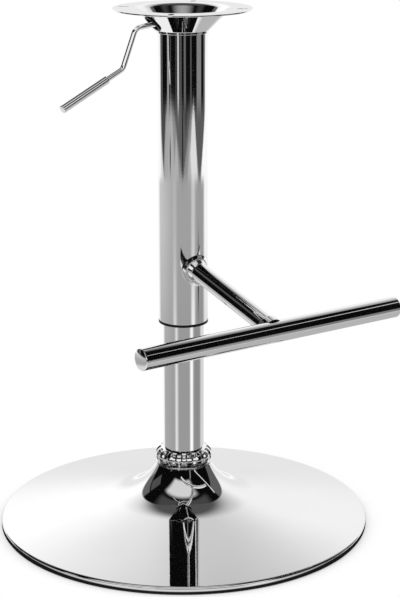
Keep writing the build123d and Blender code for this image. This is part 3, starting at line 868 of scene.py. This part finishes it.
pivot = Vector((-PIVOT_X, 0, PIVOT_Z))
knee = lever_point(KNEE_X, PIVOT_X, PIVOT_Z, LEVER_SLOPE)
elbow = lever_point(ELBOW_X, KNEE_X, knee.z, LEVER_DROP_SLOPE)
grip_end = lever_point(GRIP_END_X, ELBOW_X, elbow.z, GRIP_SLOPE)
blade_dir = (knee - pivot).normalized()
grip_dir = (grip_end - elbow).normalized()


def lever_rod():
    """A ring drawn at the blade, extruded along each run and spun round each bend."""
    start = pivot + blade_dir * (BLADE_ROOT - BLADE_OVERLAP)
    select_none()
    bpy.ops.mesh.primitive_circle_add(vertices=40, radius=LEVER_R * MM)
    rod = lay_along(bpy.context.object, blade_dir, start)
    rod.name = "lever_rod_polished"
    edit_all(rod)
    here = start
    corners = [knee, elbow]
    ends = [elbow, grip_end - grip_dir * GRIP_END_T]
    for corner, after in zip(corners, ends):
        inward = (corner - here).normalized()
        outward = (after - corner).normalized()
        turn = inward.angle(outward)
        run = LEVER_BEND_R * tan(turn / 2)
        entry = corner - inward * run
        move = (entry - here) * MM
        bpy.ops.mesh.extrude_region_move(TRANSFORM_OT_translate={"value": tuple(move)})
        side = (outward - inward * outward.dot(inward)).normalized()
        centre = entry + side * LEVER_BEND_R
        axis = inward.cross(outward).normalized()
        bpy.ops.mesh.spin(steps=14, angle=-turn, center=tuple(centre * MM), axis=tuple(axis))
        here = corner + outward * run
    move = (ends[-1] - here) * MM
    bpy.ops.mesh.extrude_region_move(TRANSFORM_OT_translate={"value": tuple(move)})
    bpy.ops.mesh.edge_face_add()
    mend()
    return smooth(joined(rod, lever_blade()), 35)


def lever_blade():
    """The flattened end that turns on the pin, with rounded edges."""
    select_none()
    bpy.ops.mesh.primitive_cube_add(size=1)
    blade = bpy.context.object
    blade.scale = (BLADE_HEIGHT * MM, BLADE_T * MM, (BLADE_TIP + BLADE_ROOT) * MM)
    apply_transform()
    lay_along(blade, blade_dir, pivot + blade_dir * (BLADE_ROOT - BLADE_TIP) / 2)
    edit_all(blade)
    bpy.ops.mesh.bevel(offset=BLADE_ROUND * MM, segments=3, affect="EDGES")
    bpy.ops.object.mode_set(mode="OBJECT")
    return blade


def lever_grip():
    """A sleeve over the lever's end, closed outside."""
    profile = rounded([
        (LEVER_R + GRIP_GAP, 0.0),
        (GRIP_R, 0.0, 0.7),
        (GRIP_R, GRIP_LENGTH, 0.8),
        (CENTRE_R, GRIP_LENGTH),
    ], steps=4)
    grip = turned_solid("lever_grip_polished", profile, sides=64)
    return smooth(lay_along(grip, grip_dir, grip_end - grip_dir * GRIP_LENGTH))


fit(lever_rod(), "lever_rod", tube_chrome)
fit(lever_grip(), "lever_grip", tube_chrome)


# ---------------------------------------------------------------- footrest

def footrest_bar():
    half = BAR_LENGTH / 2 - BAR_CAP_T
    profile = rounded([
        (BAR_R - BAR_WALL, -half),
        (BAR_R, -half),
        (BAR_R, half),
        (BAR_R - BAR_WALL, half),
    ], steps=3)
    bar = turned("footrest_bar_polished", profile, sides=128)
    return smooth(lay_along(bar, (1, 0, 0), (0, -BAR_Y, BAR_Z)))


def bar_caps():
    """The left cap, domed, with a plug inside the bar; the right one is its copy, turned round."""
    plug_r = BAR_R - BAR_WALL - CAP_PLUG_GAP
    profile = rounded([
        (plug_r, -CAP_PLUG_H),
        (plug_r, 0.0),
        (BAR_R, 0.0),
        (BAR_R, 1.6, 1.1),
        (BAR_R - 2.0, 2.1),
        (BAR_R - 5.0, 2.55),
        (BAR_R - 8.5, 2.9),
        (CENTRE_R, BAR_CAP_T),
    ], steps=5)
    left = turned_solid("bar_cap_left_polished", profile, sides=128)
    lay_along(left, (-1, 0, 0), (BAR_CAP_T - BAR_LENGTH / 2, 0, 0))
    right = turned_copy(left, pi)
    right.name = "bar_cap_right_polished"
    for cap in (left, right):
        make_active(cap)
        cap.location = Vector((0, -BAR_Y, BAR_Z)) * MM
        apply_transform()
        smooth(cap)
    return left, right


# The arm points from the bar up to the column; arm_face is how far along it the cover tube begins
arm_slope = radians(ARM_SLOPE)
arm_dir = Vector((0, cos(arm_slope), sin(arm_slope)))
arm_foot = Vector((0, -BAR_Y, BAR_Z + ARM_ABOVE_BAR))
arm_face = (BAR_Y - COVER_R) / cos(arm_slope)


def column_block(radius):
    """A solid the size of the cover tube, or a little more or less, for cutting what meets it."""
    select_none()
    bpy.ops.mesh.primitive_cylinder_add(
        vertices=224, radius=radius * MM, depth=200 * MM, location=(0, 0, BAR_Z * MM))
    block = bpy.context.object
    apply_transform()
    return block


def footrest_arm():
    """The sloping tube, flared a little at each end, cut to the cover tube that it meets."""
    reach = arm_face + ARM_OVERRUN
    profile = rounded([
        (BAR_BEAD_R, ARM_COLLAR_FROM),
        (BAR_BEAD_R, ARM_COLLAR_TO, 0.8),
        (ARM_R, ARM_TUBE_FROM, 1.5),
        (ARM_R, arm_face - 5.0, 8.0),
        (ARM_R + ARM_FLARE, arm_face + 2.0, 3.0),
        (ARM_R + ARM_FLARE, reach),
    ], steps=8)
    arm = turned_solid("footrest_arm_polished", profile, sides=128)
    lay_along(arm, arm_dir, arm_foot)
    return smooth(cut(arm, column_block(COVER_R - SADDLE_SINK)), 35)


def arm_saddle():
    """The thin collar of the arm that lies on the cover tube."""
    profile = [(BEAD_R, arm_face - SADDLE_RUN), (BEAD_R, arm_face + ARM_OVERRUN)]
    saddle = turned_solid("footrest_arm_saddle", profile, sides=160)
    lay_along(saddle, arm_dir, arm_foot)
    cut(saddle, column_block(COVER_R + SADDLE_T), "INTERSECT")
    cut(saddle, column_block(COVER_R - SADDLE_SINK))
    bevelled(saddle, 0.8, 4, 40)
    return smooth(saddle, 35)


def weld_place(angle):
    """Where a line along the arm, at an angle round it, meets the saddle's face; in metres."""
    first_axis = Vector((1, 0, 0))
    second_axis = arm_dir.cross(first_axis)
    spoke = (first_axis * cos(angle) + second_axis * sin(angle)) * (ARM_R + WELD_RING)
    start = arm_foot + spoke
    reach = ((COVER_R + SADDLE_T) ** 2 - start.x ** 2) ** 0.5
    return (start + arm_dir * ((-reach - start.y) / arm_dir.y)) * MM


def arm_weld():
    """Overlapping drops of weld, one modelled and the rest copied, where the arm meets the saddle."""
    places = [weld_place(2 * pi * i / WELD_DROPS) for i in range(WELD_DROPS)]
    select_none()
    bpy.ops.mesh.primitive_uv_sphere_add(
        segments=24, ring_count=14, radius=WELD_R * MM, location=places[0])
    apply_transform()
    drops = [bpy.context.object]
    for place in places[1:]:
        make_active(drops[0])
        bpy.ops.object.duplicate(linked=False)
        drops.append(bpy.context.object)
        drops[-1].location = place - places[0]
        apply_transform()
    weld = joined(*drops)
    weld.name = "footrest_arm_weld"
    return smooth(weld, 180)


fit(footrest_bar(), "footrest_bar", tube_chrome)
left_cap, right_cap = bar_caps()
fit(left_cap, "bar_cap_left", cap_chrome)
fit(right_cap, "bar_cap_right", cap_chrome)
fit(footrest_arm(), "footrest_arm", tube_chrome)
fit(arm_saddle(), "footrest_arm", tube_chrome)
fit(arm_weld(), "footrest_arm", weld_chrome)


# ---------------------------------------------------------------- studio

# Metres and degrees. A direction in the studio is a bearing from the camera, right of it positive, and
# a height over the horizon. Brightness 1 is plain white.
CAMERA_PLACE = Vector((-1.1843, -1.7232, 0.879))
CAMERA_TURN = 54.94
CAMERA_DIP = -15.765
CAMERA_LENS = 106.83
TOWARD = (cos(radians(CAMERA_TURN + 180)), sin(radians(CAMERA_TURN + 180)), 0.0)
RIGHT = (cos(radians(CAMERA_TURN - 90)), sin(radians(CAMERA_TURN - 90)), 0.0)
LAMP_AIM = Vector((0, 0, 0.3))
LAMPS = [("key_light", (-1.6, -0.6, 2.0), 1.6, 14), ("fill_light", (1.4, -1.6, 1.6), 2.0, 7)]

# The heights where the near floor ends and where the room begins; the far floor lies between them
NEAR_FLOOR_END = (-12.05, -11.75)
ROOM_BEGIN = (-10.1, -9.1)
FAR_FLOOR = 0.3
ROOM_BLACK = 0.003
CORE_BLACK = 0.01
# Strips of light: bearing, width, brightness, and the height where the strip ends
ROOM_STRIPS = [
    (-130, 14, 0.32, 16), (-109, 7, 0.15, 12), (-70, 9, 0.36, 16), (-57, 5, 0.08, 14),
    (-30, 7, 0.05, 16), (-20, 8, 0.62, 16), (-8, 7, 0.1, 12), (10, 9, 0.14, 16),
    (38, 6, 0.1, 10), (80, 26, 0.24, -4), (112, 7, 0.12, 14),
]
STRIP_FOOT = -14
# Panels: bearings from and to, heights from and to, brightness
ROOM_PANELS = [
    (104, 131, 8, 47, 0.12), (-119, -93, 27, 42, 0.08),
    (-137, -122, 14, 42, 0.14), (26.5, 30, 33, 47, 0.3),
]
# Dark feet on the far floor: bearing, lowest point, widening, brightness
DARK_FEET = [
    (-1, -12.1, 17, 0.12), (84, -12.2, 15, 0.11), (-101, -11.7, 9, 0.07), (14, -10.6, 12, 0.06),
]
# Bright feet on the far floor: bearing, highest point, widening, brightness
BRIGHT_FEET = [
    (-130, -9.6, 14, 0.75), (-74, -9.0, 8, 0.42), (-56, -8.6, 6, 0.46), (-30, -10.4, 9, 0.48),
    (50, -9.1, 8.5, 0.8), (31, -10.6, 8, 0.5), (127, -9.4, 15, 1.05),
]
# Black cores in the feet: bearings from and to, heights from and to
DARK_CORES = [(-62.5, -57.5, -11.65, -10.65), (-3, 2, -11.75, -9.7)]
# Paths on the near floor: bearings from and to, softness, brightness far off and near by
FLOOR_PATHS = [(66, 106, 7, 0.36, 0.29), (-47, -32, 8, 0.52, 0.84), (39, 57, 6, 0.62, 1.06)]
FRONT_LIGHT = 0.95
CEILING = 0.06
OVERHEAD_LIGHT = 0.7
RAIL = 0.9
# The rail slopes: its height at one bearing, and its rise with each degree to the right
RAIL_AT = 50
RAIL_RISE = 0.234
WINGS = 1.05


def number(tree, operation, a, b=None, clamp=False):
    """One step of arithmetic on sockets or plain numbers."""
    node = tree.nodes.new("ShaderNodeMath")
    node.operation = operation
    node.use_clamp = clamp
    for socket, value in zip(node.inputs, (a, b)):
        if value is not None:
            feed(tree, value, socket)
    return node.outputs[0]


def times(tree, a, b):
    return number(tree, "MULTIPLY", a, b)


def minus(tree, a, b):
    return number(tree, "SUBTRACT", a, b)


def over(tree, a, b):
    """a over b, where b is kept from zero."""
    return number(tree, "DIVIDE", a, number(tree, "MAXIMUM", b, 0.05))


def along(tree, direction, axis):
    """How far a direction points along an axis."""
    node = tree.nodes.new("ShaderNodeVectorMath")
    node.operation = "DOT_PRODUCT"
    link(tree, direction, node.inputs[0])
    node.inputs[1].default_value = axis
    return node.outputs["Value"]


def rise(tree, value, start, end):
    """0 before start, 1 after end, smooth between them."""
    node = tree.nodes.new("ShaderNodeMapRange")
    node.interpolation_type = "SMOOTHSTEP"
    link(tree, value, node.inputs["Value"])
    node.inputs["From Min"].default_value = start
    node.inputs["From Max"].default_value = end
    return node.outputs["Result"]


def fall(tree, value, start, end):
    """1 before start, 0 after end, smooth between them."""
    return minus(tree, 1.0, rise(tree, value, start, end))


def band(tree, value, low, high, soft):
    """1 between low and high, 0 outside them, with soft edges."""
    up = rise(tree, value, low - soft, low + soft)
    down = rise(tree, value, high - soft, high + soft)
    return number(tree, "SUBTRACT", up, down, clamp=True)


def paint(tree, under, level, mask):
    """Lays a level over what is there, where the mask is 1."""
    node = tree.nodes.new("ShaderNodeMix")
    node.data_type = "FLOAT"
    link(tree, mask, node.inputs[0])
    feed(tree, under, node.inputs[2])
    feed(tree, level, node.inputs[3])
    return node.outputs[0]


def panel(tree, under, level, turn, tilt, turn_range, tilt_range, soft):
    """A rectangle of light or a flag, between two bearings and two heights."""
    across = band(tree, turn, turn_range[0], turn_range[1], soft)
    upward = band(tree, tilt, tilt_range[0], tilt_range[1], soft)
    return paint(tree, under, level, times(tree, across, upward))


def wedge_down(tree, under, level, turn, tilt, centre, tip, spread):
    """A wedge that stands on its tip and widens upward."""
    off = number(tree, "ABSOLUTE", minus(tree, turn, centre))
    edge = number(tree, "ADD", times(tree, off, 1.0 / spread), tip)
    return paint(tree, under, level, rise(tree, minus(tree, tilt, edge), -0.12, 0.22))


def wedge_up(tree, under, level, turn, tilt, centre, peak, spread):
    """A wedge that stands on the floor's far edge and narrows upward to its peak."""
    off = number(tree, "ABSOLUTE", minus(tree, turn, centre))
    edge = minus(tree, peak, times(tree, off, 1.0 / spread))
    return paint(tree, under, level, rise(tree, minus(tree, edge, tilt), -0.12, 0.3))


def room_lights(tree, turn, tilt):
    """The dark room, with tall strips and a few panels of light standing in it."""
    level = ROOM_BLACK
    for centre, width, bright, top in ROOM_STRIPS:
        sides = (centre - width / 2, centre + width / 2)
        level = panel(tree, level, bright, turn, tilt, sides, (STRIP_FOOT, top), 1.3)
    for low, high, foot, top, bright in ROOM_PANELS:
        level = panel(tree, level, bright, turn, tilt, (low, high), (foot, top), 1.5)
    return level


def far_floor(tree, turn, tilt):
    """The far edge of the floor, where the feet of the dark things and of the lights stand."""
    level = FAR_FLOOR
    for centre, tip, spread, dark in DARK_FEET:
        level = wedge_down(tree, level, dark, turn, tilt, centre, tip, spread)
    for centre, peak, spread, bright in BRIGHT_FEET:
        level = wedge_up(tree, level, bright, turn, tilt, centre, peak, spread)
    for low, high, foot, top in DARK_CORES:
        level = panel(tree, level, CORE_BLACK, turn, tilt, (low, high), (foot, top), 0.35)
    return level


def near_floor(tree, turn, tilt):
    """The pale floor, mid grey toward the camera, with its paths, bright sides and bright middle."""
    near = rise(tree, times(tree, tilt, -1.0), 13.0, 18.5)
    to_left = times(tree, turn, -1.0)
    level = paint(tree, 0.39, 0.35, near)
    level = paint(tree, level, paint(tree, 0.6, 0.43, near), rise(tree, to_left, 15, 125))
    for low, high, soft, far_level, near_level in FLOOR_PATHS:
        path = paint(tree, far_level, near_level, near)
        level = paint(tree, level, path, band(tree, turn, low, high, soft))
    level = paint(tree, level, paint(tree, 1.0, 0.72, near), rise(tree, turn, 105, 123))
    level = paint(tree, level, 0.95, rise(tree, to_left, 128, 150))
    level = paint(tree, level, 0.75, fall(tree, tilt, -26, -21.5))
    level = paint(tree, level, 0.95, fall(tree, tilt, -46, -28))
    # Greyer on the steep right, as the underside of the footrest bar sees it
    steep = band(tree, tilt, -64, -27, 4)
    level = paint(tree, level, 0.5, times(tree, steep, rise(tree, turn, 20, 50)))
    return panel(tree, level, 0.015, turn, tilt, (73, 79.5), (-16.0, -14.0), 0.9)


def front_light(tree, level, turn, tilt, first):
    """A low, wide light in front; only what faces it sees it, and not by way of other metal."""
    mask = times(tree, band(tree, turn, -56, 54, 5), band(tree, tilt, 6, 30, 2))
    return paint(tree, level, FRONT_LIGHT, times(tree, mask, first))


def overhead_light(tree, level, right, toward, up, first):
    """A soft rectangle overhead, toward the camera."""
    across = band(tree, over(tree, right, up), -0.6, 0.36, 0.13)
    ahead = band(tree, over(tree, toward, up), 0.12, 0.8, 0.09)
    return paint(tree, level, OVERHEAD_LIGHT, times(tree, times(tree, across, ahead), first))


def rail_light(tree, level, turn, tilt):
    """A thin bright line that climbs to the right."""
    climb = minus(tree, tilt, times(tree, minus(tree, turn, RAIL_AT), RAIL_RISE))
    mask = times(tree, band(tree, climb, 31.2, 32.8, 0.5), band(tree, turn, 30, 116, 2.0))
    return paint(tree, level, RAIL, mask)


def white_sweep(tree, level, right, forward, up, tilt):
    """The white paper behind: brightest at the left, greyer at the upper right, dark above its top."""
    side = over(tree, right, forward)
    in_side = band(tree, side, -0.95, 1.15, 0.06)
    in_high = fall(tree, over(tree, up, forward), 5.0, 9.0)
    mask = times(tree, times(tree, in_side, in_high), rise(tree, forward, 0.1, 0.2))
    to_right = rise(tree, side, -0.14, 0.14)
    paper = paint(tree, 0.85, paint(tree, 1.12, 0.98, to_right), rise(tree, tilt, 4, 20))
    paper = paint(tree, paper, paint(tree, 0.8, 0.6, to_right), rise(tree, tilt, 26, 46))
    paper = paint(tree, paper, 0.085, rise(tree, tilt, 41, 61))
    return paint(tree, level, paper, mask)


def studio(tree, direction, later):
    """How bright the studio is in each direction, as polished metal sees it."""
    toward = along(tree, direction, TOWARD)
    right = along(tree, direction, RIGHT)
    up = along(tree, direction, (0, 0, 1))
    turn = times(tree, number(tree, "ARCTAN2", right, toward), degrees(1))
    tilt = times(tree, number(tree, "ARCSINE", up), degrees(1))
    away = number(tree, "ABSOLUTE", turn)
    first = minus(tree, 1.0, later)

    room = room_lights(tree, turn, tilt)
    room = front_light(tree, room, turn, tilt, first)
    # The grey ceiling behind
    room = paint(tree, room, CEILING, times(tree, rise(tree, tilt, 56, 66), rise(tree, away, 85, 105)))
    room = overhead_light(tree, room, right, toward, up, first)
    room = rail_light(tree, room, turn, tilt)
    level = paint(tree, far_floor(tree, turn, tilt), room, rise(tree, tilt, *ROOM_BEGIN))
    level = white_sweep(tree, level, right, times(tree, toward, -1.0), up, tilt)
    # The wings: white strips low down, at both sides of the paper
    wings = times(tree, rise(tree, away, 115, 128), band(tree, tilt, -14, -5, 4))
    level = paint(tree, level, WINGS, times(tree, wings, first))
    return paint(tree, level, near_floor(tree, turn, tilt), fall(tree, tilt, *NEAR_FLOOR_END))


def shiny_rays(tree, path):
    """1 for the rays that mirrors and glass send out."""
    return number(tree, "MAXIMUM", path.outputs["Is Glossy Ray"], path.outputs["Is Transmission Ray"])


def mixed(tree, mask, first, second):
    """The first shader, and the second where the mask is 1."""
    node = tree.nodes.new("ShaderNodeMixShader")
    link(tree, mask, node.inputs[0])
    link(tree, first, node.inputs[1])
    link(tree, second, node.inputs[2])
    return node.outputs[0]


def white_background(tree):
    node = tree.nodes.new("ShaderNodeBackground")
    node.inputs["Color"].default_value = (1, 1, 1, 1)
    node.inputs["Strength"].default_value = 1.0
    return node


def make_world():
    """Plain white for the camera and for matt surfaces, and the studio for polished ones."""
    world = bpy.data.worlds.new("studio")
    bpy.context.scene.world = world
    world.use_nodes = True
    tree = world.node_tree
    tree.nodes.clear()
    where = tree.nodes.new("ShaderNodeTexCoord")
    path = tree.nodes.new("ShaderNodeLightPath")
    # The first reflection has ray depth 2, so anything over that has met metal before
    later = number(tree, "GREATER_THAN", path.outputs["Ray Depth"], 2.5)
    seen = white_background(tree)
    link(tree, studio(tree, where.outputs["Generated"], later), seen.inputs["Strength"])
    lit = mixed(tree, shiny_rays(tree, path), white_background(tree).outputs[0], seen.outputs[0])
    backdrop = mixed(tree, path.outputs["Is Camera Ray"], lit, white_background(tree).outputs[0])
    out = tree.nodes.new("ShaderNodeOutputWorld")
    link(tree, backdrop, out.inputs["Surface"])


FLOOR_R = 1.6
FLOOR_DROP = 0.0005
FLOOR_GLOW = 0.45
# Radii between which the floor's shadows fade out, and between which the painted shadow round the rim ends:
# a near-black ring that only metal sees, standing in for the floor's shade next to the rim
SHADOW_FADE = (0.235, 0.33)
PAINTED_RIM_SHADOW_END = (0.2395, 0.2425)
# Brightness of the painted shadow ring round the rim
PAINTED_RIM_SHADOW = 0.01


def floor_material():
    """Pale and matt, fading to white; metal sees the studio through it, past a near-black ring of painted
    shadow round the rim.
    """
    material = bpy.data.materials.new("studio floor")
    material.use_nodes = True
    tree = material.node_tree
    tree.nodes.clear()
    where = tree.nodes.new("ShaderNodeTexCoord")
    far = tree.nodes.new("ShaderNodeVectorMath")
    far.operation = "LENGTH"
    link(tree, where.outputs["Object"], far.inputs[0])
    radius = far.outputs["Value"]
    cloud = tree.nodes.new("ShaderNodeTexNoise")
    cloud.inputs["Scale"].default_value = 3.0
    tone = blended(tree, cloud.outputs["Fac"], (0.92, 0.92, 0.92, 1), (0.9, 0.9, 0.9, 1))
    matt = tree.nodes.new("ShaderNodeBsdfDiffuse")
    link(tree, tone, matt.inputs["Color"])
    glow = tree.nodes.new("ShaderNodeEmission")
    glow.inputs["Strength"].default_value = 1.0
    fade = number(tree, "ADD", rise(tree, radius, *SHADOW_FADE), FLOOR_GLOW, clamp=True)
    pale = mixed(tree, fade, matt.outputs[0], glow.outputs[0])
    # Painted shadow: a near-black glow that metal sees in the floor just round the rim, where the floor's
    # shade would be
    shade = tree.nodes.new("ShaderNodeEmission")
    shade.inputs["Color"].default_value = (PAINTED_RIM_SHADOW, PAINTED_RIM_SHADOW, PAINTED_RIM_SHADOW, 1)
    clear = tree.nodes.new("ShaderNodeBsdfTransparent")
    under = mixed(tree, rise(tree, radius, *PAINTED_RIM_SHADOW_END), shade.outputs[0], clear.outputs[0])
    path = tree.nodes.new("ShaderNodeLightPath")
    out = tree.nodes.new("ShaderNodeOutputMaterial")
    link(tree, mixed(tree, shiny_rays(tree, path), pale, under), out.inputs["Surface"])
    return material


def make_floor():
    select_none()
    bpy.ops.mesh.primitive_circle_add(vertices=128, radius=FLOOR_R, fill_type="NGON")
    floor = bpy.context.object
    floor.name = "studio_floor"
    floor.data.materials.append(floor_material())
    floor.location = (0, 0, -FLOOR_DROP)


def make_lamp(name, place, size, power):
    """A square lamp that looks at the stool and that metal doesn't see."""
    data = bpy.data.lights.new(name, "AREA")
    data.size = size
    data.energy = power
    lamp = bpy.data.objects.new(name, data)
    lamp.location = place
    lamp.rotation_euler = (LAMP_AIM - Vector(place)).to_track_quat("-Z", "Y").to_euler()
    lamp.visible_glossy = False
    bpy.context.scene.collection.objects.link(lamp)


def make_camera():
    data = bpy.data.cameras.new("camera")
    data.lens = CAMERA_LENS
    data.sensor_width = 36.0
    camera = bpy.data.objects.new("camera", data)
    camera.location = CAMERA_PLACE
    camera.rotation_euler = (radians(90 + CAMERA_DIP), 0, radians(CAMERA_TURN - 90))
    bpy.context.scene.collection.objects.link(camera)
    bpy.context.scene.camera = camera


make_world()
make_floor()
for lamp in LAMPS:
    make_lamp(*lamp)
make_camera()
bpy.context.scene.view_settings.view_transform = "Standard"
